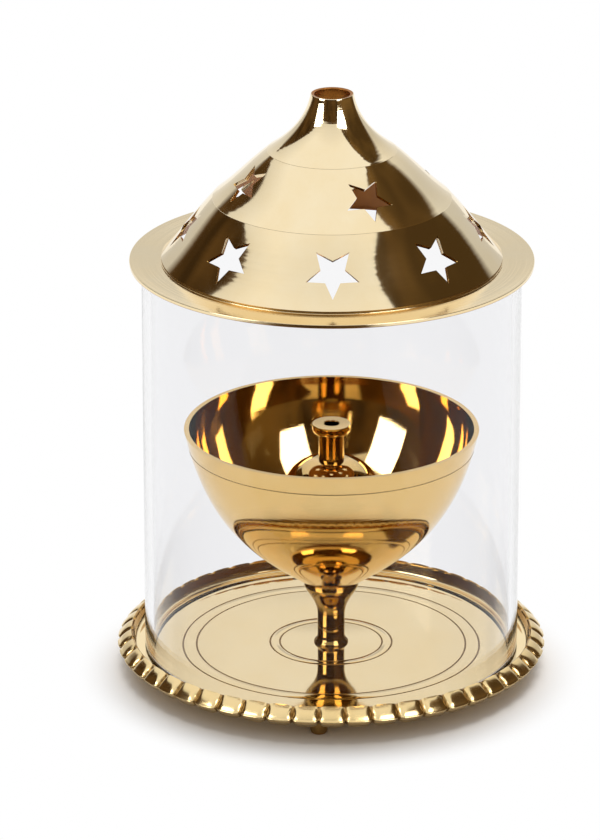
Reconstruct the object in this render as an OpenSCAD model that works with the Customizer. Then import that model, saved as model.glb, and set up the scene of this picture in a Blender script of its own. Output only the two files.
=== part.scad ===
// Akhand diya: a brass oil lamp. A bowl on a turned stem stands in a gadrooned tray,
// a glass chimney stands round it, and a star-pierced spun lid closes the chimney.
// Millimetres, +Z up. The origin is on the ground under the middle of the tray, and -Y is the front.

/* [Tray] */
// Diameter of the tray over its gadroons
tray_d = 97; // [92:1:110]
// Radial width of the rim, from the foot of its wall to the outside
rim_w = 5.2; // [4.8:0.1:6.4]
// Height of the rim crest above the tray floor
rim_rise = 3.1; // [2.8:0.1:3.6]
// Thickness of the tray floor
floor_t = 1.6; // [1.4:0.1:2.2]
// Number of gadroons round the rim
gadroon_n = 50; // [44:1:56]
// Depth of the flutes
flute_depth = 0.8; // [0.5:0.1:1]
// Radius of the outermost line engraved in the floor
line_outer_r = 33.6; // [32:0.2:36]
// Radius of the second engraved line
line_second_r = 30.5; // [28:0.2:31.5]
// Radius of the third engraved line
line_third_r = 13.8; // [13:0.2:18]
// Radius of the innermost engraved line
line_inner_r = 11.6; // [10:0.2:12.4]
// Width of every engraved line
line_w = 0.5; // [0.3:0.1:0.7]

/* [Feet] */
// Height of the feet under the tray
foot_h = 3.1; // [3:0.1:6]
// Diameter of a foot where it meets the tray
foot_d = 4.2; // [3.6:0.1:5]
// Distance of the feet in from the outside of the tray
foot_inset = 7; // [6.5:0.1:12]
// Diameter of the spigot on top of a foot
foot_spigot_d = 2; // [1.4:0.1:2.6]
// Turn of the three feet round the tray, in degrees
foot_turn = -4; // [-30:1:30]

/* [Stem] */
// Height of the stem from the tray floor to the bowl
stem_h = 15.1; // [13:0.1:30]
// Diameter of the ring at the foot of the stem
stem_foot_d = 7.8; // [7.2:0.1:10]
// Height of the ring at the foot of the stem
stem_foot_h = 1.2; // [0.8:0.1:2]
// Diameter of the stem at its waist
stem_waist_d = 6.2; // [5.8:0.1:7]
// Length of the straight waist
stem_waist_h = 4.6; // [3:0.1:6]
// Diameter of the stem under the bowl
stem_top_d = 12.4; // [11:0.1:16]

/* [Fastening] */
// Diameter of the screw that holds the stem down
screw_d = 3; // [2.5:0.1:3.4]
// Length of the screw under its head
screw_len = 7.5; // [5:0.1:8.4]
// Diameter of the screw head
screw_head_d = 5.6; // [5:0.1:7]
// Height of the screw head
screw_head_h = 1.7; // [1.2:0.1:2]
// Outside diameter of the washer
washer_d = 7.4; // [7.2:0.1:10]
// Thickness of the washer
washer_t = 0.5; // [0.4:0.1:0.8]
// Diameter of the stud under the bowl
stud_d = 4; // [3:0.1:5]
// Length of the stud under the bowl
stud_len = 4.5; // [3:0.1:5]
// Radial play of threads and spigots in their holes
thread_gap = 0.1; // [0.05:0.05:0.2]

/* [Bowl] */
// Outside diameter of the bowl at its rim
bowl_d = 66.2; // [56:0.2:74]
// Height of the bowl
bowl_h = 37; // [32:0.5:44]
// Wall thickness of the bowl
bowl_wall = 1; // [0.8:0.1:1.6]
// Distance of the engraved line below the bowl's rim
bowl_line_drop = 4; // [3:0.1:8]

/* [Wick stand] */
// Outside diameter of the wick dome at its shoulder
dome_d = 20.2; // [18:0.2:24]
// Outside diameter of the wick dome at its foot
dome_foot_d = 22; // [20:0.2:26]
// Height of the wick dome
dome_h = 25; // [20:0.1:28]
// Height of the rounded crown of the wick dome
crown_h = 5.8; // [5:0.1:8]
// Sheet thickness of the wick dome
dome_t = 0.9; // [0.8:0.1:1.2]
// Diameter of the oil holes in the crown
oil_hole_d = 2.2; // [1.6:0.1:2.8]
// Distance of the oil holes from the axis
oil_hole_r = 6.6; // [6:0.1:7.4]
// Width of the notches in the foot of the wick dome
notch_w = 4; // [3:0.1:5]
// Height of the notches in the foot of the wick dome
notch_h = 5; // [3:0.1:8]
// Height of the wick tube above the wick dome
tube_h = 8.4; // [7:0.1:12]
// Outside diameter of the wick tube
tube_d = 5.8; // [5.2:0.1:6.4]
// Bore of the wick tube
wick_bore_d = 3.4; // [2.6:0.1:3.6]
// Diameter of the head of the wick tube
head_d = 8.7; // [7.6:0.1:10]
// Height of the head of the wick tube
head_h = 2.3; // [1.8:0.1:3]
// Length of the spigot of the wick tube, down into the wick dome
spigot_len = 3; // [2:0.1:5]

/* [Glass] */
// Height of the glass chimney
glass_h = 90.9; // [80:0.5:110]
// Wall thickness of the glass chimney
glass_wall = 2; // [1.6:0.1:2.6]
// Radial play of the glass inside the tray's wall
glass_gap = 1.1; // [0.3:0.05:1.6]

/* [Lid] */
// Sheet thickness of the lid
lid_t = 0.8; // [0.6:0.1:1]
// Overhang of the brim past the glass
brim_over = 2.7; // [1.5:0.1:5]
// Radial play of the locating ring inside the glass
ring_gap = 0.4; // [0.3:0.05:0.6]
// Depth of the locating ring under the brim
ring_drop = 0.7; // [0.5:0.1:1.2]
// Distance of the lower tier in from the locating ring
tier_inset = 2; // [1.6:0.1:3]
// Height of the upright step between the brim and the lower tier
tier_step = 0.6; // [0.4:0.1:1]
// Radius of the lid at the seam between its lower and middle tiers
seam_low_r = 26.4; // [25:0.1:28]
// Radius of the lid at the seam between its middle tier and its neck
seam_high_r = 14.3; // [13:0.1:15]
// Radius of the open neck at the top
neck_r = 4.7; // [4.4:0.1:6]
// Height of the lower tier above the brim
tier_low_h = 14.2; // [13.4:0.1:17]
// Height of the middle tier
tier_mid_h = 11; // [10.4:0.1:14]
// Height of the neck tier
tier_neck_h = 12.9; // [11:0.1:18]
// Width of the skirt that flares out at the foot of a tier
skirt_w = 0.8; // [0.5:0.1:1.2]
// Stars in the lower tier
star_low_n = 8; // [6:1:8]
// Tip radius of the stars in the lower tier
star_low_r = 6.1; // [4.5:0.1:6.4]
// Stars in the middle tier
star_mid_n = 4; // [3:1:5]
// Tip radius of the stars in the middle tier
star_mid_r = 5.6; // [4.5:0.1:5.8]
// Turn of the stars of the middle tier from the front, in degrees
star_mid_turn = 22.5; // [0:0.5:45]

/* [Hidden] */
$fn = 96;
brass = "#d9b36a";
steel = "#b9bcc0";
clear_glass = "#eceef4";

// Curve shares and small finishing sizes
curve_steps = 14;
star_waist = 0.46;
edge_r = 0.4;
flute_share = 0.38;
line_depth = 0.2;
overcut = 1;
seat_gap = 0.2;

// Heights, from the ground up
floor_z = foot_h + floor_t;
crest_z = floor_z + rim_rise;
bowl_z = floor_z + stem_h;
rim_z = bowl_z + bowl_h;
glass_top_z = floor_z + glass_h;
brim_z = glass_top_z + lid_t;
seam_low_z = brim_z + tier_low_h;
seam_high_z = seam_low_z + tier_mid_h;
neck_z = seam_high_z + tier_neck_h;

// Radii, from the outside in
tray_r = tray_d / 2;
seat_r = tray_r - rim_w;
glass_r = seat_r - glass_gap;
glass_in_r = glass_r - glass_wall;
brim_r = glass_r + brim_over;
ring_r = glass_in_r - ring_gap;
tier_r = ring_r - tier_inset;
foot_ring_r = tray_r - foot_inset;
bowl_r = bowl_d / 2;
stem_top_r = stem_top_d / 2;

// A point at share t of a cubic curve with end points a, d and handles b, c
function curve_point(a, b, c, d, t) =
    a * pow(1 - t, 3) + b * 3 * t * pow(1 - t, 2) + c * 3 * t * t * (1 - t) + d * pow(t, 3);

// A cubic curve as points, both ends included
function curve(a, b, c, d) = [for (i = [0 : curve_steps]) curve_point(a, b, c, d, i / curve_steps)];

function unit(v) = v / norm(v);

// The left-hand normal of a path at point i
function side(path, i) = let (
    before = path[max(i - 1, 0)],
    after = path[min(i + 1, len(path) - 1)],
    along = unit(after - before)
) [-along[1], along[0]];

// A path moved sideways to its left by a sheet thickness
function moved(path, t) = [for (i = [0 : len(path) - 1]) path[i] + t * side(path, i)];

function reversed(path) = [for (i = [len(path) - 1 : -1 : 0]) path[i]];

// Turned and spun forms
module spun(outline) {
    rotate_extrude() polygon(outline);
}

// A round bore or pin along Z
module bar(r, z0, z1) {
    translate([0, 0, z0]) cylinder(r = r, h = z1 - z0);
}

// An engraved line: a V-shaped cut round the axis, square to the surface at [r, z]
module engraved_line(r, z, lean = 0) {
    rotate_extrude() translate([r, z]) rotate(lean)
        polygon([[0, -line_depth], [line_w / 2, line_depth], [-line_w / 2, line_depth]]);
}

// Repeats a shape n times round the axis, the first turned by start degrees
module ring_of(n, start = 0) {
    for (i = [0 : n - 1]) rotate(start + 360 * i / n) children();
}

// Tray: flat floor, steep wall round the foot of the glass, and a sloping rim cut into gadroons
rim_t = crest_z - foot_h;
crest = [tray_r - rim_w * 0.61, crest_z];
lip = [tray_r, crest_z - rim_t * 0.56];
underside = [tray_r - rim_w * 0.23, foot_h + rim_t * 0.12];

module tray_blank() {
    wall_h = crest_z - floor_z;
    spun(concat(
        [[0, foot_h], [seat_r + edge_r, foot_h], underside, lip, crest],
        curve(crest - [edge_r, edge_r], [seat_r + wall_h * 0.36, floor_z + wall_h * 0.36],
            [seat_r + wall_h * 0.26, floor_z], [seat_r, floor_z]),
        [[0, floor_z]]));
}

// A V-shaped cutter that runs from one point of the rim's section to another, past both
module flute(from, to) {
    along = to - from;
    half_w = flute_share * PI * tray_r / gadroon_n;
    translate([from[0], 0, from[1]]) rotate([0, atan2(along[0], along[1]), 0])
        translate([0, 0, -edge_r]) linear_extrude(norm(along) + 2 * edge_r)
            polygon([[flute_depth, 0], [0, half_w], [-overcut, half_w], [-overcut, -half_w], [0, -half_w]]);
}

module base_tray() {
    color(brass) difference() {
        tray_blank();
        ring_of(gadroon_n) {
            flute(crest, lip);
            flute(lip, underside);
        }
        for (r = [line_outer_r, line_second_r, line_third_r, line_inner_r]) engraved_line(r, floor_z);
        bar(screw_d / 2 + thread_gap, foot_h - overcut, floor_z + overcut);
        ring_of(3, foot_turn - 90) translate([foot_ring_r, 0, 0])
            bar(foot_spigot_d / 2 + thread_gap, foot_h - overcut, foot_h + floor_t / 2);
    }
}

// Feet: turned pegs, each with a spigot let into the underside of the tray
module foot(turn) {
    peg_r = foot_d / 2;
    spigot_r = foot_spigot_d / 2;
    color(brass) rotate(foot_turn - 90 + turn) translate([foot_ring_r, 0, 0])
        spun([[0, 0], [peg_r * 0.7, 0], [peg_r * 0.9, foot_h * 0.2], [peg_r, foot_h],
            [spigot_r, foot_h], [spigot_r, foot_h + floor_t * 0.45], [0, foot_h + floor_t * 0.45]]);
}

module foot_front() { foot(0); }
module foot_rear_right() { foot(120); }
module foot_rear_left() { foot(240); }

// Screw and washer: they clamp the stem to the tray from below
module base_screw() {
    head_z = foot_h - washer_t - screw_head_h;
    head_r = screw_head_d / 2;
    color(steel) difference() {
        spun([[0, head_z], [head_r - edge_r, head_z], [head_r, head_z + edge_r], [head_r, foot_h - washer_t],
            [screw_d / 2, foot_h - washer_t], [screw_d / 2, foot_h - washer_t + screw_len],
            [0, foot_h - washer_t + screw_len]]);
        translate([-screw_head_d, -line_w, head_z - overcut])
            cube([2 * screw_head_d, 2 * line_w, overcut + screw_head_h / 2]);
    }
}

module base_washer() {
    color(steel) difference() {
        bar(washer_d / 2, foot_h - washer_t, foot_h);
        bar(screw_d / 2 + thread_gap, foot_h - washer_t - overcut, foot_h + overcut);
    }
}

// Stem: foot ring, waist and flare, bored from below for the screw and from above for the bowl's stud
module stem() {
    foot_r = stem_foot_d / 2;
    waist_r = stem_waist_d / 2;
    waist_z = floor_z + stem_foot_h + foot_r - waist_r;
    flare_z = waist_z + stem_waist_h;
    flare_h = bowl_z - flare_z;
    collar_h = 2 * edge_r;
    color(brass) difference() {
        spun(concat(
            [[0, floor_z], [foot_r - edge_r, floor_z], [foot_r, floor_z + stem_foot_h / 2]],
            [[foot_r - edge_r, floor_z + stem_foot_h], [waist_r, waist_z]],
            curve([waist_r, flare_z], [waist_r, flare_z + flare_h * 0.45],
                [stem_top_r * 0.92, bowl_z - flare_h * 0.35], [stem_top_r, bowl_z - collar_h]),
            [[stem_top_r, bowl_z], [0, bowl_z]]));
        bar(screw_d / 2 + thread_gap, floor_z - overcut, foot_h - washer_t + screw_len + seat_gap);
        bar(stud_d / 2 + thread_gap, bowl_z - stud_len - seat_gap, bowl_z + overcut);
    }
}

// Bowl: thin spun wall on a thick foot, with a stud under it that screws into the stem
bowl_outside = curve([stem_top_r, bowl_z], [stem_top_r + (bowl_r - stem_top_r) * 0.4, bowl_z + bowl_h * 0.14],
    [bowl_r * 0.915, bowl_z + bowl_h * 0.55], [bowl_r, rim_z]);
bowl_inside = [for (p = moved(bowl_outside, bowl_wall)) [p[0], min(p[1], rim_z)]];

module bowl() {
    stud_r = stud_d / 2;
    stud_z = bowl_z - stud_len;
    line_z = rim_z - bowl_line_drop;
    line_r = lookup(line_z, [for (p = bowl_outside) [p[1], p[0]]]);
    color(brass) difference() {
        spun(concat(
            [[0, stud_z], [stud_r - edge_r, stud_z], [stud_r, stud_z + edge_r], [stud_r, bowl_z]],
            bowl_outside,
            reversed(bowl_inside),
            [[0, bowl_inside[0][1]]]));
        engraved_line(line_r, line_z, -70);
    }
}

// Wick stand: a domed cover with oil holes and foot notches, and a headed tube that carries the wick
dome_foot_r = dome_foot_d / 2;
dome_z = lookup(dome_foot_r, bowl_inside) + seat_gap;
dome_top_z = dome_z + dome_h;
spigot_r = (tube_d / 2 + wick_bore_d / 2) / 2;
dome_outside = concat(
    [[dome_foot_r, dome_z]],
    curve([dome_d / 2, dome_top_z - crown_h], [dome_d / 2, dome_top_z - crown_h * 0.45],
        [dome_d * 0.28, dome_top_z], [tube_d / 2 + edge_r, dome_top_z]));

module wick_dome() {
    color(brass) difference() {
        spun(concat(dome_outside, [[spigot_r + thread_gap, dome_top_z]],
            [[spigot_r + thread_gap, dome_top_z - dome_t]], reversed(moved(dome_outside, dome_t))));
        ring_of(4, 45) translate([oil_hole_r, 0, dome_top_z - crown_h]) rotate([0, 30, 0])
            bar(oil_hole_d / 2, 0, 2 * crown_h);
        ring_of(4) translate([0, -notch_w / 2, dome_z - overcut])
            cube([dome_foot_d, notch_w, notch_h + overcut]);
    }
}

module wick_tube() {
    tube_r = tube_d / 2;
    head_r = head_d / 2;
    top_z = dome_top_z + tube_h;
    color(brass) difference() {
        spun([[0, dome_top_z - spigot_len], [spigot_r, dome_top_z - spigot_len], [spigot_r, dome_top_z],
            [tube_r, dome_top_z], [tube_r, top_z - head_h - edge_r], [tube_r + edge_r, top_z - head_h],
            [head_r - edge_r, top_z - head_h * 0.6], [head_r, top_z - head_h * 0.45],
            [head_r, top_z - edge_r / 2], [head_r - edge_r / 2, top_z], [0, top_z]]);
        bar(wick_bore_d / 2, dome_top_z - spigot_len - overcut, top_z + overcut);
    }
}

// Glass chimney: a plain cylinder, open at both ends, standing on the tray floor
module glass_chimney() {
    color(clear_glass, 0.35) difference() {
        bar(glass_r, floor_z, glass_top_z);
        bar(glass_in_r, floor_z - overcut, glass_top_z + overcut);
    }
}

// Lid: brim on the glass, two straight tiers that flare into a skirt at the foot, and a flared open neck
tier_foot = [tier_r, brim_z + tier_step];
seam_low = [seam_low_r, seam_low_z];
seam_high = [seam_high_r, seam_high_z];
skirt = [-skirt_w, skirt_w * 0.65];
lid_outside = concat(
    [[brim_r, brim_z], [tier_r, brim_z], tier_foot, tier_foot + skirt, seam_low, seam_low + skirt],
    curve(seam_high, seam_high + tier_neck_h * [-0.45, 0.3],
        [neck_r + tier_neck_h * 0.08, neck_z - tier_neck_h * 0.4], [neck_r, neck_z]));
lid_inside = [for (p = moved(lid_outside, lid_t)) [p[0], min(p[1], neck_z)]];

function star(r) = [for (i = [0 : 9]) (i % 2 == 0 ? r : r * star_waist) * [cos(36 * i), sin(36 * i)]];

// A star-shaped punch through the sheet, half way up a tier, with one tip pointing down the slope
module star_punch(tip_r, low, high) {
    slope = atan2(low[1] - high[1], low[0] - high[0]);
    middle = (low + high) / 2;
    translate([middle[0], 0, middle[1]]) rotate([0, -slope, 0])
        translate([0, 0, -4 * lid_t]) linear_extrude(8 * lid_t) polygon(star(tip_r));
}

// A ring under the brim that keeps the lid central on the glass
module locating_ring() {
    difference() {
        bar(ring_r, glass_top_z - ring_drop, brim_z - lid_t / 2);
        bar(ring_r - lid_t, glass_top_z - ring_drop - overcut, brim_z);
    }
}

module lid() {
    color(brass) {
        difference() {
            spun(concat(lid_outside, reversed(lid_inside)));
            ring_of(star_low_n, -90) star_punch(star_low_r, tier_foot, seam_low);
            ring_of(star_mid_n, star_mid_turn - 90) star_punch(star_mid_r, seam_low, seam_high);
        }
        locating_ring();
    }
}

base_tray();
foot_front();
foot_rear_left();
foot_rear_right();
base_screw();
base_washer();
stem();
bowl();
wick_dome();
wick_tube();
glass_chimney();
lid();
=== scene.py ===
"""A brass akhand diya in studio light: turned brass, a clear glass chimney and a star-pierced lid."""

import math

import bmesh
import bpy
from mathutils import Matrix, Vector


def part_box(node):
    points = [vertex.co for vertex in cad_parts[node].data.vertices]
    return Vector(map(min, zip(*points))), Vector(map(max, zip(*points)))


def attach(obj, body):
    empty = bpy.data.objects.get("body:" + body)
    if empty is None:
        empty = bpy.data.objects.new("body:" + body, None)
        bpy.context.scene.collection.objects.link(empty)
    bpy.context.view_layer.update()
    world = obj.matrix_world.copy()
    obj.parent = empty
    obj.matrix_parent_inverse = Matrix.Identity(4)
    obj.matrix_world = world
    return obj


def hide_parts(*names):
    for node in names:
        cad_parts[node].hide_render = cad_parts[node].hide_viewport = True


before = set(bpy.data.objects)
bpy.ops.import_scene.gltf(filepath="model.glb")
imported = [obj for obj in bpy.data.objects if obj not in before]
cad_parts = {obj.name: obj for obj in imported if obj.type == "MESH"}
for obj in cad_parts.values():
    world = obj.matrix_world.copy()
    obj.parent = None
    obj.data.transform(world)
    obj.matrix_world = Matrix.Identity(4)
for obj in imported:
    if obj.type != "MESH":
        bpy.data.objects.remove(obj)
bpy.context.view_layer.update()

# Sections are drawn in millimetres, as (radius, height) points, and meshes are made in metres
MM = 0.001


# Sizes read from the frame

def box_mm(node):
    """The lowest and highest corner of a CAD node, in millimetres."""
    return [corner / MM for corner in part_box(node)]


tray_low, tray_high = box_mm("base_tray")
stem_high = box_mm("stem")[1]
bowl_low, bowl_high = box_mm("bowl")
dome_low, dome_high = box_mm("wick_dome")
tube_low, tube_high = box_mm("wick_tube")
glass_low, glass_high = box_mm("glass_chimney")
lid_low, lid_high = box_mm("lid")
screw_high = box_mm("base_screw")[1]

tray_r = tray_high.y
tray_z = tray_low.z
crest_z = tray_high.z
floor_z = glass_low.z
stem_top_r = stem_high.x
bowl_z = stem_high.z
bowl_r = bowl_high.x
rim_z = bowl_high.z
dome_foot_r = dome_high.x
dome_z = dome_low.z
dome_top_z = dome_high.z
head_r = tube_high.x
tube_z = tube_low.z
tube_top_z = tube_high.z
glass_r = glass_high.x
glass_top_z = glass_high.z
brim_r = lid_high.x
ring_z = lid_low.z
neck_z = lid_high.z

# Sizes of the pieces, in millimetres

# A share is of its piece's width, height or radius, and a pull places the handle of a curve

# Eased edges and small steps, on most of the pieces
EDGE = 0.4

# Tray
RIM_W = 5.2
CREST_SHARE = 0.61
LIP_SHARE = 0.56
LIP_EASE_SHARE = 0.25
UNDER_IN_SHARE = 0.23
UNDER_UP_SHARE = 0.12
RIM_LOW_PULL = Vector((-0.6, 1.0))
RIM_CREST_PULL = Vector((1.1, -0.4))
COVE_SHARE = 0.15
DEEP_WALL_SHARE = 0.3
GADROON_N = 50
LOBE_STEPS = 16
LOBE_FULLNESS = 5
FLUTE_DEPTH = 0.95
GROOVE_SHARE = 0.83
LINE_RADII = (33.6, 30.5, 13.8, 11.6)
LINE_W = 0.42
LINE_DEPTH = 0.12
SCREW_R = 1.5
THREAD_GAP = 0.1

# Feet
PEG_TIP_SHARE = 0.7
PEG_TIP_PULL = 0.9
PEG_SIDE_PULL = (0.92, 0.2)
PEG_SPIGOT_SHARE = 0.45

# Stem
STEM_RING_R = 3.9
STEM_RING_H = 1.2
STEM_RING_PULL = 0.65
STEM_WAIST_R = 3.1
STEM_WAIST_H = 4.6
FLARE_LOW_PULL = 0.45
FLARE_TOP_PULL = (0.92, 0.35)
STUD_R = 2.0

# Bowl
BOWL_LOW_PULL = (0.51, 0.25)
BOWL_TOP_PULL = (0.86, 0.435)
BOWL_FOOT_T = 0.62
BOWL_WALL = 0.4
BOWL_RIM_T = 1.15
BOWL_RIM_H = 8.0
BOWL_LINE_DROP = 4.0
BOWL_LINE_W = 0.26
BOWL_LINE_DEPTH = 0.06

# Wick stand
DOME_R = 10.1
DOME_T = 0.9
CROWN_H = 5.8
CROWN_SIDE_PULL = 0.45
CROWN_TOP_PULL = 0.56
OIL_HOLE_R = 1.1
OIL_HOLE_OUT = 6.6
OIL_HOLE_TILT = math.radians(30)
NOTCH_W = 4.0
NOTCH_H = 5.0
TUBE_R = 2.9
WICK_BORE_R = 1.7
HEAD_H = 2.3

# Glass
GLASS_WALL = 2.0
GLASS_EASE = 0.6

# Lid
LID_T = 0.8
LID_EASE = 0.12
RING_GAP = 0.4
TIER_INSET = 2.0
TIER_STEP = 0.6
TIER_FLARE = math.radians(3.8)
# A seam is a radius and a height above the brim, and the tier below a seam ends the lip's step off it
SEAM_LOW = (26.4, 14.2)
SEAM_HIGH = (14.3, 25.2)
SEAM_LIP = Vector((0.01, -0.05))
NECK_R = 4.7
NECK_LOW_PULL = (-0.45, 0.3)
NECK_TOP_PULL = (0.08, -0.4)
STAR_POINTS = 5
STAR_WAIST = 0.46
# A row is how many stars it has, their reach from middle to point, and its turn in degrees
STAR_ROWS = ((8, 6.1, 0.0), (4, 5.6, 22.5))
PUNCH_H = 8 * LID_T


# Drawing helpers

MERGE_M = 1e-7
SHARP_ANGLE = math.radians(45)


def curve(start, start_pull, end_pull, end, steps):
    """Points along a cubic curve from start to end, pulled by its two handles."""
    points = []
    for i in range(steps + 1):
        t = i / steps
        weights = ((1 - t) ** 3, 3 * t * (1 - t) ** 2, 3 * t * t * (1 - t), t ** 3)
        points.append(tuple(
            sum(w * p[axis] for w, p in zip(weights, (start, start_pull, end_pull, end)))
            for axis in (0, 1)))
    return points


def inset_path(path, gap):
    """A path moved to its left-hand side by a sheet's thickness."""
    moved = []
    for i, (r, z) in enumerate(path):
        before = Vector(path[max(i - 1, 0)])
        after = Vector(path[min(i + 1, len(path) - 1)])
        along = (after - before).normalized()
        moved.append((r - along.y * gap, z + along.x * gap))
    return moved


def blend_step(low, high, value):
    """0 below low, 1 above high, and a smooth rise between them."""
    t = min(max((value - low) / (high - low), 0.0), 1.0)
    return t * t * (3 - 2 * t)


def turned(section, steps, ease=0.0):
    """A bmesh made by turning a closed section round the lamp's axis, with its sharp rings eased."""
    bm = bmesh.new()
    ring = [bm.verts.new((r * MM, 0, z * MM)) for r, z in section]
    edges = [bm.edges.new(pair) for pair in zip(ring, ring[1:] + ring[:1])]
    bmesh.ops.spin(
        bm, geom=ring + edges, cent=(0, 0, 0), axis=(0, 0, 1), angle=math.tau, steps=steps, use_merge=True)
    bmesh.ops.remove_doubles(bm, verts=bm.verts, dist=MERGE_M)
    bmesh.ops.delete(bm, geom=[e for e in bm.edges if e.is_wire], context="EDGES")
    bmesh.ops.recalc_face_normals(bm, faces=bm.faces)
    if ease:
        sharp = [e for e in bm.edges if e.is_manifold and e.calc_face_angle() > SHARP_ANGLE]
        bmesh.ops.bevel(
            bm, geom=sharp, offset=ease * MM, offset_type="OFFSET", affect="EDGES", segments=3,
            profile=0.5, material=-1, clamp_overlap=True)
    return bm


def verts_of(geom):
    """The vertices in what an extrusion made."""
    return [v for v in geom if isinstance(v, bmesh.types.BMVert)]


def made(name, bm, *materials, crease=30):
    """Turns a finished bmesh into an object that shades smooth up to a crease angle."""
    mesh = bpy.data.meshes.new(name)
    bm.to_mesh(mesh)
    bm.free()
    for material in materials:
        mesh.materials.append(material)
    mesh.shade_smooth()
    mesh.set_sharp_from_angle(angle=math.radians(crease))
    piece = bpy.data.objects.new(name, mesh)
    bpy.context.scene.collection.objects.link(piece)
    return piece


def cut(piece, tool_bm, crease=30):
    """Cuts the closed shapes of a tool's bmesh out of a piece."""
    tool = made("cutter", tool_bm)
    modifier = piece.modifiers.new("cut", "BOOLEAN")
    modifier.operation = "DIFFERENCE"
    modifier.solver = "EXACT"
    modifier.object = tool
    view = bpy.context.evaluated_depsgraph_get()
    mesh = bpy.data.meshes.new_from_object(piece.evaluated_get(view))
    piece.modifiers.clear()
    piece.data = mesh
    mesh.set_sharp_from_angle(angle=math.radians(crease))
    bpy.data.objects.remove(tool)


def fitted(piece, body, node):
    """Puts a piece on its body in place of a CAD node. Its wide faces set the shading at their edges."""
    shading = piece.modifiers.new("shading", "WEIGHTED_NORMAL")
    shading.mode = "FACE_AREA"
    shading.weight = 50
    shading.keep_sharp = True
    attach(piece, body)
    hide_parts(node)


# Materials

# Sizes of the marks that work leaves in brass. Real tool lines are finer than 0.1 mm, and both kinds here
# are drawn as coarse as they need to be to show.
TOOL_LINE_MM = 0.45
BUFF_LINE_MM = 1.0
WAVE_MM = 6
PATCH_MM = 14

# The dullest patches are this many times as rough as the brightest
PATCH_DULLING = 1.7


def linear(hex_colour):
    """An sRGB hex colour as linear RGBA."""
    parts = [int(hex_colour[i:i + 2], 16) / 255 for i in (0, 2, 4)]
    return tuple(c / 12.92 if c <= 0.04045 else ((c + 0.055) / 1.055) ** 2.4 for c in parts) + (1.0,)


def add(tree, kind, settings=(), **inputs):
    """Adds a node, with its settings, and its inputs by name as numbers, colours or links."""
    made_node = tree.nodes.new(kind)
    for name, value in dict(settings).items():
        setattr(made_node, name, value)
    for name, value in inputs.items():
        key = int(name[1:]) if name[1:].isdigit() else name.replace("_", " ")
        if isinstance(value, bpy.types.NodeSocket):
            tree.links.new(value, made_node.inputs[key])
        else:
            made_node.inputs[key].default_value = value
    return made_node


def blank(name):
    """A new node material, with its tree and its output."""
    material = bpy.data.materials.new(name)
    material.use_nodes = True
    material.node_tree.nodes.clear()
    return material, material.node_tree, material.node_tree.nodes.new("ShaderNodeOutputMaterial")


def per_mm(size):
    """The scale at which a pattern's features are this many millimetres wide."""
    return 1 / (size * MM)


def turned_brass(
        name, colour, warm_colour, polish=0.04, line_mm=TOOL_LINE_MM, line_depth=0.01, wave_depth=0.03):
    """Brass worked on a lathe: fine rings and slow waves from the tool, and warmer patches of colour."""
    material, tree, output = blank(name)
    place = add(tree, "ShaderNodeTexCoord").outputs["Object"]
    apart = add(tree, "ShaderNodeSeparateXYZ", Vector=place).outputs
    flat = add(tree, "ShaderNodeCombineXYZ", X=apart["X"], Y=apart["Y"]).outputs[0]
    radius = add(tree, "ShaderNodeVectorMath", {"operation": "LENGTH"}, _0=flat).outputs["Value"]
    # Radius and height together change across every turned surface, and are the same all round a ring
    ring = add(tree, "ShaderNodeMath", {"operation": "ADD"}, _0=radius, _1=apart["Z"]).outputs[0]
    lines = add(
        tree, "ShaderNodeTexNoise", {"noise_dimensions": "1D"}, W=ring, Scale=per_mm(line_mm), Detail=3.0,
        Roughness=0.7).outputs["Fac"]
    waves = add(
        tree, "ShaderNodeTexNoise", {"noise_dimensions": "1D"}, W=ring, Scale=per_mm(WAVE_MM),
        Detail=0.0).outputs["Fac"]
    patches = add(
        tree, "ShaderNodeTexNoise", Vector=place, Scale=per_mm(PATCH_MM), Detail=4.0,
        Roughness=0.6).outputs["Fac"]
    rough = add(
        tree, "ShaderNodeMapRange", Value=patches, From_Min=0.35, From_Max=0.75, To_Min=polish,
        To_Max=polish * PATCH_DULLING).outputs[0]
    tone = add(
        tree, "ShaderNodeMix", {"data_type": "RGBA"}, _0=patches, _6=linear(colour),
        _7=linear(warm_colour)).outputs[2]
    wavy = add(tree, "ShaderNodeBump", Height=waves, Strength=1.0, Distance=wave_depth * MM).outputs[0]
    bump = add(
        tree, "ShaderNodeBump", Height=lines, Strength=0.25, Distance=line_depth * MM,
        Normal=wavy).outputs[0]
    shader = add(
        tree, "ShaderNodeBsdfPrincipled", Base_Color=tone, Metallic=1.0, Roughness=rough, Normal=bump)
    tree.links.new(shader.outputs[0], output.inputs["Surface"])
    return material


def dull_brass(name, colour, spot_colour, speck_mm):
    """Dull, browned, a little blotchy brass where the buff never reaches; on some pieces, painted shade."""
    material, tree, output = blank(name)
    place = add(tree, "ShaderNodeTexCoord").outputs["Object"]
    specks = add(
        tree, "ShaderNodeTexNoise", Vector=place, Scale=per_mm(speck_mm), Detail=2.0).outputs["Fac"]
    tone = add(
        tree, "ShaderNodeMix", {"data_type": "RGBA"}, _0=specks, _6=linear(colour),
        _7=linear(spot_colour)).outputs[2]
    shader = add(tree, "ShaderNodeBsdfPrincipled", Base_Color=tone, Metallic=1.0, Roughness=0.4)
    tree.links.new(shader.outputs[0], output.inputs["Surface"])
    return material


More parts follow.
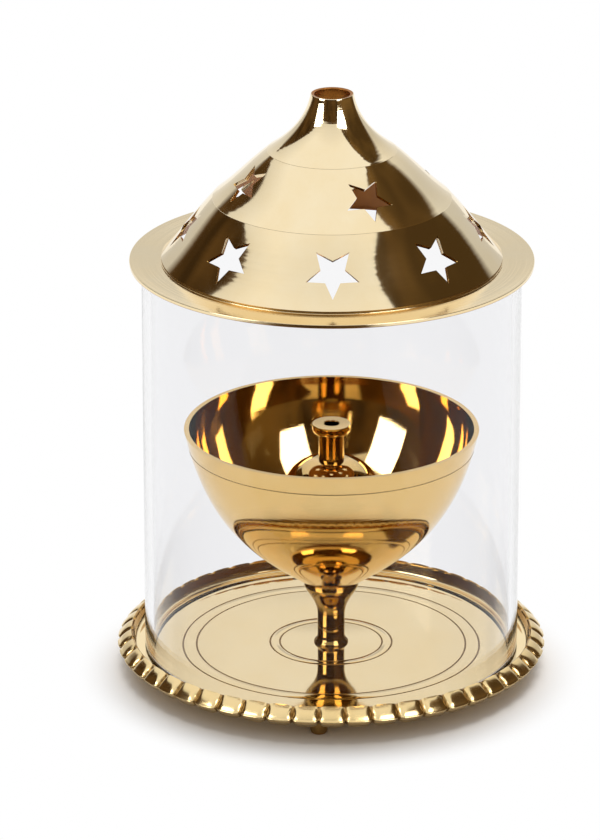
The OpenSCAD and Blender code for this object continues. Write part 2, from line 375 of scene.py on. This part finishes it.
def clear_glass(ripple_mm=16, ripple_depth=0.4, stretch=0.12):
    """Drawn soda-lime tube: clear and faintly cool, with a slow ripple along it that bends reflections."""
    material, tree, output = blank("clear_soda_glass")
    place = add(tree, "ShaderNodeTexCoord").outputs["Object"]
    stretched = add(tree, "ShaderNodeMapping", Vector=place, Scale=(1.0, 1.0, stretch)).outputs[0]
    ripple = add(
        tree, "ShaderNodeTexNoise", Vector=stretched, Scale=per_mm(ripple_mm), Detail=1.0).outputs["Fac"]
    bump = add(
        tree, "ShaderNodeBump", Height=ripple, Strength=0.12, Distance=ripple_depth * MM).outputs[0]
    # The grey tint keeps what the glass mirrors from veiling what stands inside it
    shader = add(
        tree, "ShaderNodeBsdfPrincipled", Base_Color=linear("F7F7F8"), Roughness=0.0, IOR=1.5,
        Specular_Tint=linear("606060"), Transmission_Weight=1.0, Normal=bump)
    tree.links.new(shader.outputs[0], output.inputs["Surface"])
    return material


def plated_steel(grain_mm=0.6):
    """Bright zinc-plated steel: a cool, slightly grainy shine."""
    material, tree, output = blank("zinc_plated_steel")
    place = add(tree, "ShaderNodeTexCoord").outputs["Object"]
    # Real grain is finer, and is drawn this coarse to show
    grain = add(
        tree, "ShaderNodeTexNoise", Vector=place, Scale=per_mm(grain_mm), Detail=3.0).outputs["Fac"]
    rough = add(
        tree, "ShaderNodeMapRange", Value=grain, From_Min=0.3, From_Max=0.7, To_Min=0.2,
        To_Max=0.38).outputs[0]
    shader = add(
        tree, "ShaderNodeBsdfPrincipled", Base_Color=linear("C3C6CA"), Metallic=1.0, Roughness=rough)
    tree.links.new(shader.outputs[0], output.inputs["Surface"])
    return material


# The tray's floor is buffed to a pale, even mirror
tray_brass = turned_brass("tray_brass", "F8E4B8", "F3D8A0", wave_depth=0.01)
# The bowl, the dome and the head of the wick tube have a warmer polish, a little wavy from the lathe
polished_brass = turned_brass("polished_brass", "F1D296", "EAC27A")
# The upright wall of the tray is a deep, darker brass: painted shade
wall_shade_brass = turned_brass("wall_shade_brass", "CBA056", "BA8B42", polish=0.05)
# The stem and the shaft of the wick tube are polished, in a brass darkened to brown: painted shade
shade_darkened_brass = turned_brass("shade_darkened_brass", "AE9058", "9C7C44")
# The lobes of the rim are pressed and only brushed over, so what they mirror is soft
rim_brass = turned_brass(
    "rim_brass", "F5DEAC", "EBCB8A", polish=0.14, line_depth=0.02, wave_depth=0.01)
# The lid's brim is buffed flat and shows faint rings
brim_brass = turned_brass(
    "brim_brass", "F6E6C2", "EFD6A4", polish=0.08, line_mm=BUFF_LINE_MM, line_depth=0.15, wave_depth=0.1)
# The lid's tiers are spun sheet: pale, with rings and slow waves that fray the edge of what they mirror
spun_brass = turned_brass(
    "spun_brass", "F9EBCB", "F3DAA8", polish=0.06, line_mm=BUFF_LINE_MM, line_depth=0.15, wave_depth=0.3)
# A dull brown: tarnish in the engraved circles, darkening in the grooves, and painted shade on the pegs and
# the lid's step
tarnish_and_shade_brass = dull_brass("tarnish_and_shade_brass", "8A6C3C", "B08C54", speck_mm=0.8)
# The fine line round the bowl is worn by handling, and reads as a paler brown
worn_brass = dull_brass("worn_brass", "B3925A", "C8A870", speck_mm=0.8)
# The inside of the lid was never polished: a blotchy red-brown
raw_brass = dull_brass("raw_brass", "8A5420", "B97A34", speck_mm=6)
glass = clear_glass()
steel = plated_steel()


# Tray: mirror floor with engraved circles, a coved wall and a gadrooned rim

def off_lobe(place):
    """0 on the middle of a lobe of the rim, and 1 in the groove beside it."""
    share = math.atan2(place.y, place.x) * GADROON_N / math.tau % 1.0
    return abs(2 * share - 1)


def tray():
    """Turns the tray, then sinks the grooves between the lobes of its rim."""
    seat_r = tray_r - RIM_W
    rim_t = crest_z - tray_z
    wall_h = crest_z - floor_z
    crest = Vector((tray_r - RIM_W * CREST_SHARE, crest_z))
    lip = Vector((tray_r, crest_z - rim_t * LIP_SHARE))
    underside = Vector((tray_r - RIM_W * UNDER_IN_SHARE, tray_z + rim_t * UNDER_UP_SHARE))
    band_foot = lip + (crest - lip).normalized() * EDGE
    wall_r = crest.x - EDGE
    bore_r = SCREW_R + THREAD_GAP
    section = [(bore_r, tray_z), (seat_r + EDGE, tray_z), tuple(underside)]
    section += curve(lip.lerp(underside, LIP_EASE_SHARE), lip, lip, band_foot, steps=6)
    section += curve(band_foot, band_foot + RIM_LOW_PULL, crest + RIM_CREST_PULL, crest, steps=12)[1:]
    section += curve(
        (wall_r, crest_z - EDGE), (wall_r - EDGE / 2, floor_z + wall_h * COVE_SHARE),
        (wall_r - EDGE, floor_z), (seat_r + EDGE, floor_z), steps=16)
    for line_r in LINE_RADII:
        section += [
            (line_r + LINE_W / 2, floor_z), (line_r, floor_z - LINE_DEPTH), (line_r - LINE_W / 2, floor_z)]
    section += [(bore_r, floor_z)]
    bm = turned(section, steps=GADROON_N * LOBE_STEPS)
    core = (crest + underside) / 2
    for vert in bm.verts:
        r, z = vert.co.xy.length / MM, vert.co.z / MM
        weight = blend_step(wall_r, crest.x + EDGE, r) * blend_step(tray_z, underside.y, z)
        if not weight:
            continue
        fall = FLUTE_DEPTH * weight * off_lobe(vert.co) ** LOBE_FULLNESS
        moved = Vector((r, z)) + (core - Vector((r, z))).normalized() * fall
        vert.co = Vector((vert.co.x * moved.x / r, vert.co.y * moved.x / r, moved.y * MM))
    looks = (tray_brass, tarnish_and_shade_brass, rim_brass, wall_shade_brass)
    for face in bm.faces:
        middle = face.calc_center_median()
        r, z = middle.xy.length / MM, middle.z / MM
        in_line = r < seat_r - EDGE and face.normal.z > 0 and z < floor_z - LINE_DEPTH / 4
        in_groove = r > crest.x and z > underside.y and off_lobe(middle) > GROOVE_SHARE
        if in_line or in_groove:
            face.material_index = looks.index(tarnish_and_shade_brass)
        elif r > crest.x:
            face.material_index = looks.index(rim_brass)
        # The upper part of the upright wall takes the darker brass: painted shade
        elif r > seat_r + EDGE and z > floor_z + wall_h * DEEP_WALL_SHARE:
            face.material_index = looks.index(wall_shade_brass)
    piece = made("gadrooned_tray", bm, *looks, crease=50)
    fitted(piece, "base", "base_tray")


# Feet: turned pegs with an eased end

def feet():
    """Turns the three pegs on the axis and moves each to its place."""
    for node in ("foot_front", "foot_rear_left", "foot_rear_right"):
        low, high = box_mm(node)
        peg_r = (high.x - low.x) / 2
        spigot_r = peg_r * PEG_SPIGOT_SHARE
        section = [(0, 0)]
        section += curve(
            (peg_r * PEG_TIP_SHARE, 0), (peg_r * PEG_TIP_PULL, 0),
            (peg_r * PEG_SIDE_PULL[0], tray_z * PEG_SIDE_PULL[1]), (peg_r, tray_z), steps=8)
        section += [(spigot_r, tray_z), (spigot_r, high.z), (0, high.z)]
        bm = turned(section, steps=48)
        bmesh.ops.translate(bm, verts=bm.verts, vec=Vector((low.x + peg_r, low.y + peg_r, 0)) * MM)
        # The pegs take the dull brown as painted shade, for the shade under the tray
        piece = made(node.replace("foot", "peg_foot"), bm, tarnish_and_shade_brass)
        fitted(piece, "base", node)


# Stem: a bead at the foot, a waist and a flare under the bowl

def stem():
    """Turns the stem, bored from below for the screw and from above for the bowl's stud."""
    ring_top = floor_z + STEM_RING_H
    waist_z = ring_top + STEM_RING_R - STEM_WAIST_R
    flare_z = waist_z + STEM_WAIST_H
    flare_h = bowl_z - flare_z
    collar_z = bowl_z - 2 * EDGE
    screw_r = SCREW_R + THREAD_GAP
    stud_r = STUD_R + THREAD_GAP
    screw_end = screw_high.z + 2 * THREAD_GAP
    stud_end = bowl_low.z - 2 * THREAD_GAP
    section = [(screw_r, floor_z)]
    section += curve(
        (STEM_RING_R - EDGE / 2, floor_z), (STEM_RING_R, floor_z), (STEM_RING_R, floor_z),
        (STEM_RING_R, floor_z + EDGE / 2), steps=4)
    section += curve(
        (STEM_RING_R, floor_z + EDGE / 2),
        (STEM_RING_R - EDGE / 4, floor_z + STEM_RING_H * STEM_RING_PULL),
        (STEM_WAIST_R, ring_top - EDGE / 2), (STEM_WAIST_R, waist_z), steps=14)[1:]
    section += curve(
        (STEM_WAIST_R, flare_z), (STEM_WAIST_R, flare_z + flare_h * FLARE_LOW_PULL),
        (stem_top_r * FLARE_TOP_PULL[0], bowl_z - flare_h * FLARE_TOP_PULL[1]), (stem_top_r, collar_z),
        steps=28)
    section += [
        (stem_top_r, bowl_z), (stud_r, bowl_z), (stud_r, stud_end), (0, stud_end), (0, screw_end),
        (screw_r, screw_end)]
    # The stem's darkened brass is painted shade
    piece = made("turned_stem", turned(section, steps=144), shade_darkened_brass)
    fitted(piece, "base", "stem")


# Bowl: a thin wall that opens from the stem to a plain rim, with one engraved line

def bowl():
    """Turns the bowl and its stud. Its wall is thickest at the rim and thinnest a little below it."""
    height = rim_z - bowl_z
    outside = curve(
        (stem_top_r, bowl_z),
        (stem_top_r + (bowl_r - stem_top_r) * BOWL_LOW_PULL[0], bowl_z + height * BOWL_LOW_PULL[1]),
        (bowl_r * BOWL_TOP_PULL[0], bowl_z + height * BOWL_TOP_PULL[1]), (bowl_r, rim_z), steps=72)
    inside = []
    for point, inward in zip(outside, inset_path(outside, 1)):
        up_rim = max(0.0, 1 - (rim_z - point[1]) / BOWL_RIM_H)
        up_wall = blend_step(bowl_z, rim_z - BOWL_RIM_H, point[1])
        wall = BOWL_FOOT_T + (BOWL_WALL - BOWL_FOOT_T) * up_wall
        wall += (BOWL_RIM_T - BOWL_WALL) * up_rim ** 2
        r, z = Vector(point).lerp(inward, wall)
        inside.append((r, min(z, rim_z)))
    line_z = rim_z - BOWL_LINE_DROP
    nearest = min(range(len(outside)), key=lambda i: abs(outside[i][1] - line_z))
    line_r, line_z = outside[nearest]
    half_w = BOWL_LINE_W / 2
    engraved = [(line_r, line_z - half_w), (line_r - BOWL_LINE_DEPTH, line_z), (line_r, line_z + half_w)]
    section = [(0, bowl_low.z), (STUD_R, bowl_low.z), (STUD_R, bowl_z)]
    section += outside[:nearest] + engraved + outside[nearest + 1:]
    section += inside[::-1] + [(0, inside[0][1])]
    bm = turned(section, steps=256)
    looks = (polished_brass, worn_brass)
    for face in bm.faces:
        middle = face.calc_center_median()
        on_outside = middle.xy.length / MM > line_r - BOWL_LINE_W
        if on_outside and abs(middle.z / MM - line_z) < half_w:
            face.material_index = looks.index(worn_brass)
    piece = made("oil_bowl", bm, *looks, crease=50)
    fitted(piece, "base", "bowl")


# Wick stand: a domed cover with oil holes and foot notches, and a headed tube for the wick

def wick_dome():
    """Turns the dome, then drills an oil hole and cuts a notch in each quarter."""
    spigot_r = (TUBE_R + WICK_BORE_R) / 2 + THREAD_GAP
    outside = [(dome_foot_r, dome_z)] + curve(
        (DOME_R, dome_top_z - CROWN_H), (DOME_R, dome_top_z - CROWN_H * CROWN_SIDE_PULL),
        (DOME_R * CROWN_TOP_PULL, dome_top_z), (TUBE_R + EDGE, dome_top_z), steps=24)
    section = outside + [(spigot_r, dome_top_z), (spigot_r, dome_top_z - DOME_T)]
    section += inset_path(outside, DOME_T)[::-1]
    piece = made("wick_dome_cover", turned(section, steps=144), polished_brass)
    tool = bmesh.new()
    for quarter in range(4):
        drill = (
            Matrix.Rotation(math.radians(45 + 90 * quarter), 4, "Z")
            @ Matrix.Translation(Vector((OIL_HOLE_OUT, 0, dome_top_z - CROWN_H)) * MM)
            @ Matrix.Rotation(OIL_HOLE_TILT, 4, "Y")
            @ Matrix.Translation((0, 0, CROWN_H * MM)))
        bmesh.ops.create_cone(
            tool, cap_ends=True, segments=32, radius1=OIL_HOLE_R * MM, radius2=OIL_HOLE_R * MM,
            depth=2 * CROWN_H * MM, matrix=drill)
        notch = (
            Matrix.Rotation(math.radians(90 * quarter), 4, "Z")
            @ Matrix.Translation(Vector((dome_foot_r, 0, dome_z)) * MM)
            @ Matrix.Diagonal(Vector((dome_foot_r, NOTCH_W, 2 * NOTCH_H)) * MM).to_4x4())
        bmesh.ops.create_cube(tool, size=1.0, matrix=notch)
    cut(piece, tool)
    fitted(piece, "wick_stand", "wick_dome")


def wick_tube():
    """Turns the tube, with a coved head and a spigot that goes through the dome's crown."""
    spigot_r = (TUBE_R + WICK_BORE_R) / 2
    head_z = tube_top_z - HEAD_H
    section = [(WICK_BORE_R, tube_z), (spigot_r, tube_z), (spigot_r, dome_top_z), (TUBE_R, dome_top_z)]
    section += curve(
        (TUBE_R, head_z - EDGE), (TUBE_R, head_z), (head_r, head_z), (head_r, head_z + HEAD_H / 2),
        steps=10)
    section += curve(
        (head_r, tube_top_z - EDGE), (head_r, tube_top_z), (head_r, tube_top_z),
        (head_r - EDGE, tube_top_z), steps=5)
    section += [(WICK_BORE_R + EDGE / 2, tube_top_z), (WICK_BORE_R, tube_top_z - EDGE / 2)]
    bm = turned(section, steps=128)
    # The shaft's darkened brass is painted shade; the head is polished brass
    looks = (shade_darkened_brass, polished_brass)
    for face in bm.faces:
        if face.calc_center_median().z / MM > head_z:
            face.material_index = looks.index(polished_brass)
    piece = made("headed_wick_tube", bm, *looks)
    fitted(piece, "wick_stand", "wick_tube")


# Glass chimney: a drawn tube with fire-polished ends

def glass_chimney():
    """Turns the tube and rounds its ends."""
    inner_r = glass_r - GLASS_WALL
    section = [(inner_r, floor_z), (glass_r, floor_z), (glass_r, glass_top_z), (inner_r, glass_top_z)]
    piece = made("glass_tube", turned(section, steps=256, ease=GLASS_EASE), glass, crease=60)
    fitted(piece, "glass", "glass_chimney")


# Lid: flat brim with a locating ring, two flared tiers and a neck, pierced with stars

def tier(foot, top):
    """A tier that flares at its foot, rounds over at its top and ends under the next tier's lip."""
    foot, end = Vector(foot), Vector(top) + SEAM_LIP
    flare = Matrix.Rotation(TIER_FLARE, 2) @ (end - foot) / 3
    return curve(foot, foot + flare, end - flare, end, steps=16)


def star_tool(tiers):
    """Closed star-shaped punches, set square to the tiers all round the lid."""
    tool = bmesh.new()
    corners = 2 * STAR_POINTS
    for (count, tip_r, turn), (low, high) in zip(STAR_ROWS, tiers):
        middle = (Vector(low) + Vector(high)) / 2
        slope = math.atan2(low[1] - high[1], low[0] - high[0])
        for i in range(count):
            outline = bmesh.ops.create_circle(
                tool, cap_ends=True, segments=corners, radius=tip_r * MM)["verts"]
            in_order = sorted(outline, key=lambda v: math.atan2(v.co.y, v.co.x) % math.tau)
            for n, vert in enumerate(in_order):
                reach = tip_r if n % 2 == 0 else tip_r * STAR_WAIST
                angle = math.tau * n / corners
                vert.co = Vector((math.cos(angle), math.sin(angle), 0)) * reach * MM
            face = outline[0].link_faces[0]
            top = verts_of(bmesh.ops.extrude_face_region(tool, geom=[face])["geom"])
            bmesh.ops.translate(tool, verts=top, vec=(0, 0, PUNCH_H * MM))
            place = (
                Matrix.Rotation(math.radians(turn - 90 + 360 * i / count), 4, "Z")
                @ Matrix.Translation(Vector((middle.x, 0, middle.y)) * MM)
                @ Matrix.Rotation(-slope, 4, "Y")
                @ Matrix.Translation((0, 0, -PUNCH_H / 2 * MM)))
            bmesh.ops.transform(tool, matrix=place, verts=list(set(outline + top)))
    bmesh.ops.recalc_face_normals(tool, faces=tool.faces)
    return tool


def lid():
    """Turns the lid as a shell of even thickness with its ring, then punches the stars."""
    brim_z = glass_top_z + LID_T
    ring_r = glass_r - GLASS_WALL - RING_GAP
    ring_in_r = ring_r - LID_T
    tier_r = ring_r - TIER_INSET
    tier_foot = (tier_r, brim_z + TIER_STEP)
    seam_low = (SEAM_LOW[0], brim_z + SEAM_LOW[1])
    seam_high = (SEAM_HIGH[0], brim_z + SEAM_HIGH[1])
    neck_h = neck_z - seam_high[1]
    brim = [(brim_r, brim_z), (tier_r, brim_z)]
    neck = curve(
        seam_high, (seam_high[0] + neck_h * NECK_LOW_PULL[0], seam_high[1] + neck_h * NECK_LOW_PULL[1]),
        (NECK_R + neck_h * NECK_TOP_PULL[0], neck_z + neck_h * NECK_TOP_PULL[1]), (NECK_R, neck_z),
        steps=32)
    outside = brim + tier(tier_foot, seam_low) + tier(seam_low, seam_high) + neck
    inside = [(r, min(z, neck_z)) for r, z in inset_path(brim + [tier_foot, seam_low] + neck, LID_T)]
    ring = [(ring_in_r, glass_top_z), (ring_in_r, ring_z), (ring_r, ring_z), (ring_r, glass_top_z)]
    section = outside + inside[:0:-1] + ring + inside[:1]
    bm = turned(section, steps=288, ease=LID_EASE)
    looks = (spun_brass, raw_brass, brim_brass, tarnish_and_shade_brass)
    for face in bm.faces:
        middle = face.calc_center_median()
        height = middle.z / MM
        if face.normal.z < 0 or face.normal.xy.dot(middle.xy) < 0:
            face.material_index = looks.index(raw_brass)
        elif height < brim_z + EDGE / 4:
            face.material_index = looks.index(brim_brass)
        # The lid's step takes the dull brown: painted shade, a dark line where the tier meets the brim
        elif height < brim_z + TIER_STEP:
            face.material_index = looks.index(tarnish_and_shade_brass)
    piece = made("star_lid", bm, *looks)
    cut(piece, star_tool(((tier_foot, seam_low), (seam_low, seam_high))))
    fitted(piece, "lid", "lid")


tray()
feet()
stem()
bowl()
wick_dome()
wick_tube()
glass_chimney()
lid()

for node in ("base_screw", "base_washer"):
    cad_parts[node].data.materials.clear()
    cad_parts[node].data.materials.append(steel)


# Studio: a pale floor, a white surround, dark cards and three soft boxes, in metres

CAMERA_DISTANCE = 1.265
CAMERA_RISE = math.radians(20.5)
CAMERA_AIM = Vector((-0.00706, 0.0, 0.058))
LENS = 242.1

# The shadow lies a little to the front, and ends over this stretch from its middle
SHADOW_Y = -0.005
SHADOW_FROM = 0.043
SHADOW_END = 0.058
FLOOR_SIZE = 4.0

# Light from the surround on the floor, and how bright the surround is where it is dimmed in mirrors: low at
# the sides and in front, by the parts of a direction, and in a round patch low at the back, by an angle
FLOOR_LIGHT = 0.42
SIDE_FROM = 0.12
SIDE_END = 0.42
SIDE_BRIGHT = 0.64
FRONT_FROM = -0.85
FRONT_END = -0.25
FRONT_BRIGHT = 0.78
BACK_RISE = math.radians(14)
BACK_FROM = math.radians(6.3)
BACK_END = math.radians(7.7)
BACK_BRIGHT = 0.7

# The dark cards stand round the front and sides, open above and behind. One lies on the table in front of
# the tray, and a ring close round it is a painted shadow: the tray's shadow on the table, as mirrors show
# it.
CARDS_LEFT = -0.9
CARDS_RIGHT = 0.5
CARDS_FRONT = -1.1
CARDS_BACK = 1.4
CARDS_TOP = 1.0
LEFT_TOP = 0.86
TABLE_LEFT = -0.2
TABLE_RIGHT = 0.12
TABLE_END = -0.13
TABLE_CARD_Z = 0.002
RING_IN = 0.049
RING_OUT = 0.053
RING_CARD_Z = 0.001
FOLD_MM = 350
FOLD_DARK = 0.6
FOLD_BRIGHT = 1.5

SOFT_BOX_AIM = Vector((0, 0, 0.05))


def camera():
    """The camera in front of the lamp, looking a little down."""
    data = bpy.data.cameras.new("camera")
    data.lens = LENS
    data.sensor_width = 36
    data.clip_end = 10
    eye = bpy.data.objects.new("camera", data)
    bpy.context.scene.collection.objects.link(eye)
    back = Vector((0, -math.cos(CAMERA_RISE), math.sin(CAMERA_RISE)))
    eye.location = CAMERA_AIM + CAMERA_DISTANCE * back
    eye.rotation_euler = (math.pi / 2 - CAMERA_RISE, 0, 0)
    bpy.context.scene.camera = eye


def pale_floor():
    """White paper that keeps the lamp's shadow, and runs into a plain lit white away from it."""
    material, tree, output = blank("pale_paper")
    place = add(tree, "ShaderNodeTexCoord").outputs["Object"]
    radius = add(
        tree, "ShaderNodeVectorMath", {"operation": "DISTANCE"}, _0=place,
        _1=(0, SHADOW_Y, 0)).outputs["Value"]
    away = add(
        tree, "ShaderNodeMapRange", {"interpolation_type": "SMOOTHSTEP"}, Value=radius,
        From_Min=SHADOW_FROM, From_Max=SHADOW_END).outputs[0]
    # The paper's faint warm tint shows only in the shadow, and stands in for light thrown back by the
    # brass: painted bounce light
    paper = add(tree, "ShaderNodeBsdfDiffuse", Color=linear("FAF5EF")).outputs[0]
    lit = add(tree, "ShaderNodeEmission", Color=(1, 1, 1, 1), Strength=1.0).outputs[0]
    shader = add(tree, "ShaderNodeMixShader", _0=away, _1=paper, _2=lit)
    tree.links.new(shader.outputs[0], output.inputs["Surface"])
    bm = bmesh.new()
    bmesh.ops.create_grid(bm, x_segments=1, y_segments=1, size=FLOOR_SIZE)
    floor = made("floor", bm, material)


def white_surround():
    """White where it is seen, dimmed here and there where it is mirrored, and a soft light on the floor."""
    world = bpy.data.worlds.new("white_surround")
    bpy.context.scene.world = world
    world.use_nodes = True
    tree = world.node_tree
    tree.nodes.clear()
    path = add(tree, "ShaderNodeLightPath").outputs
    seen = path["Is Camera Ray"]
    for kind in ("Is Glossy Ray", "Is Transmission Ray"):
        seen = add(tree, "ShaderNodeMath", {"operation": "MAXIMUM"}, _0=seen, _1=path[kind]).outputs[0]
    look = add(tree, "ShaderNodeTexCoord").outputs["Generated"]
    apart = add(tree, "ShaderNodeSeparateXYZ", Vector=look).outputs
    aside = add(tree, "ShaderNodeMath", {"operation": "ABSOLUTE"}, _0=apart["X"]).outputs[0]
    low = add(tree, "ShaderNodeMath", {"operation": "SUBTRACT"}, _0=1.0, _1=apart["Z"]).outputs[0]
    low_aside = add(tree, "ShaderNodeMath", {"operation": "MULTIPLY"}, _0=aside, _1=low).outputs[0]
    backward = add(
        tree, "ShaderNodeVectorMath", {"operation": "DOT_PRODUCT"}, _0=look,
        _1=(0, math.cos(BACK_RISE), math.sin(BACK_RISE))).outputs["Value"]
    sides = add(
        tree, "ShaderNodeMapRange", Value=low_aside, From_Min=SIDE_FROM, From_Max=SIDE_END, To_Min=1.0,
        To_Max=SIDE_BRIGHT).outputs[0]
    front = add(
        tree, "ShaderNodeMapRange", Value=apart["Y"], From_Min=FRONT_FROM, From_Max=FRONT_END,
        To_Min=FRONT_BRIGHT, To_Max=1.0).outputs[0]
    low_back = add(
        tree, "ShaderNodeMapRange", Value=backward, From_Min=math.cos(BACK_END),
        From_Max=math.cos(BACK_FROM), To_Min=1.0, To_Max=BACK_BRIGHT).outputs[0]
    mirrored = sides
    for dimmed in (front, low_back):
        mirrored = add(
            tree, "ShaderNodeMath", {"operation": "MULTIPLY"}, _0=mirrored, _1=dimmed).outputs[0]
    bright = add(
        tree, "ShaderNodeMix", {"data_type": "FLOAT"}, _0=path["Is Glossy Ray"], _2=1.0,
        _3=mirrored).outputs[0]
    strength = add(
        tree, "ShaderNodeMix", {"data_type": "FLOAT"}, _0=seen, _2=FLOOR_LIGHT, _3=bright).outputs[0]
    light = add(tree, "ShaderNodeBackground", Color=(1, 1, 1, 1), Strength=strength)
    output = tree.nodes.new("ShaderNodeOutputWorld")
    tree.links.new(light.outputs[0], output.inputs["Surface"])


def dark_felt(name, colour, fade_from, fade_to, slant=0.0):
    """Felt that only shows in mirrors, and thins out towards the back: later at its top, with a slant."""
    material, tree, output = blank(name)
    path = add(tree, "ShaderNodeLightPath").outputs
    mirrored = add(
        tree, "ShaderNodeMath", {"operation": "GREATER_THAN"}, _0=path["Glossy Depth"], _1=0.5).outputs[0]
    place = add(tree, "ShaderNodeTexCoord").outputs["Object"]
    depth = add(
        tree, "ShaderNodeVectorMath", {"operation": "DOT_PRODUCT"}, _0=place,
        _1=(0, 1, -slant)).outputs["Value"]
    cover = add(
        tree, "ShaderNodeMapRange", Value=depth, From_Min=fade_from, From_Max=fade_to, To_Min=1.0,
        To_Max=0.0).outputs[0]
    share = add(tree, "ShaderNodeMath", {"operation": "MULTIPLY"}, _0=mirrored, _1=cover).outputs[0]
    open_air = add(tree, "ShaderNodeBsdfTransparent").outputs[0]
    folds = add(
        tree, "ShaderNodeTexNoise", Vector=place, Scale=per_mm(FOLD_MM), Detail=1.0).outputs["Fac"]
    bright = add(
        tree, "ShaderNodeMapRange", Value=folds, From_Min=0.32, From_Max=0.68, To_Min=FOLD_DARK,
        To_Max=FOLD_BRIGHT).outputs[0]
    felt = add(tree, "ShaderNodeEmission", Color=linear(colour), Strength=bright).outputs[0]
    mix = add(tree, "ShaderNodeMixShader", _0=share, _1=open_air, _2=felt)
    tree.links.new(mix.outputs[0], output.inputs["Surface"])
    return material


def hung(name, bm, material):
    """Makes a card that the camera doesn't see, and that throws no light or shadow on the floor."""
    card = made(name, bm, material)
    card.visible_camera = False
    card.visible_diffuse = False
    card.visible_shadow = False


def dark_card(name, corner, across, up, material):
    """A flat card from one corner along two sides."""
    bm = bmesh.new()
    corner, across, up = Vector(corner), Vector(across), Vector(up)
    edge = bm.edges.new([bm.verts.new(corner), bm.verts.new(corner + across)])
    raised = verts_of(bmesh.ops.extrude_edge_only(bm, edges=[edge])["geom"])
    bmesh.ops.translate(bm, verts=raised, vec=up)
    hung(name, bm, material)


def painted_shadow_ring(name, inner, outer, material):
    """A flat dark ring on the table close round the tray: a painted shadow that only mirrors show."""
    bm = bmesh.new()
    bmesh.ops.create_circle(bm, segments=96, radius=inner)
    widened = verts_of(bmesh.ops.extrude_edge_only(bm, edges=bm.edges[:])["geom"])
    bmesh.ops.scale(bm, verts=widened, vec=(outer / inner, outer / inner, 1))
    bmesh.ops.translate(bm, verts=bm.verts, vec=(0, 0, RING_CARD_Z))
    hung(name, bm, material)


def dark_cards():
    """Two side cards, a front card, a card on the table and a painted shadow ring round the tray."""
    left = dark_felt("left_felt", "4A361C", fade_from=0.45, fade_to=0.8, slant=1.1)
    right = dark_felt("right_felt", "5E4828", fade_from=0.42, fade_to=0.52)
    side = (0, CARDS_BACK - CARDS_FRONT, 0)
    width = (CARDS_RIGHT - CARDS_LEFT, 0, 0)
    up = (0, 0, CARDS_TOP)
    dark_card("left_card", (CARDS_LEFT, CARDS_FRONT, 0), side, (0, 0, LEFT_TOP), left)
    dark_card("right_card", (CARDS_RIGHT, CARDS_FRONT, 0), side, up, right)
    dark_card("front_card", (CARDS_LEFT, CARDS_FRONT, 0), width, up, left)
    dark_card(
        "table_front", (TABLE_LEFT, CARDS_FRONT, TABLE_CARD_Z), (TABLE_RIGHT - TABLE_LEFT, 0, 0),
        (0, TABLE_END - CARDS_FRONT, 0), left)
    # A painted shadow: the tray's dark contact shadow on the table, seen only in mirrors
    painted_shadow_ring("shadow_ring_card", RING_IN, RING_OUT, left)


def soft_box(name, turn, rise, distance, width, height, brightness):
    """A soft box facing the lamp. Turn is to the right of the camera, rise above the table, in degrees."""
    data = bpy.data.lights.new(name, "AREA")
    data.shape = "RECTANGLE"
    data.size, data.size_y = width, height
    data.energy = brightness * math.pi * width * height
    box = bpy.data.objects.new(name, data)
    bpy.context.scene.collection.objects.link(box)
    turn, rise = math.radians(turn), math.radians(rise)
    away = Vector((math.sin(turn) * math.cos(rise), -math.cos(turn) * math.cos(rise), math.sin(rise)))
    box.location = SOFT_BOX_AIM + distance * away
    box.rotation_euler = away.to_track_quat("Z", "Y").to_euler()
    box.visible_camera = False
    return box


def soft_boxes():
    """Two boxes that only show in mirrors, and one above that lights the floor and isn't mirrored."""
    for name, turn, rise in (("left_box", -57, 28), ("right_box", 40, 35)):
        side = soft_box(name, turn, rise, distance=0.7, width=0.34, height=0.33, brightness=5.0)
        side.visible_diffuse = False
    top = soft_box("top_box", 165, 75, distance=1.2, width=0.8, height=0.8, brightness=5.5)
    top.visible_glossy = False
    top.visible_transmission = False


camera()
pale_floor()
white_surround()
dark_cards()
soft_boxes()

bpy.context.scene.view_settings.view_transform = "Standard"
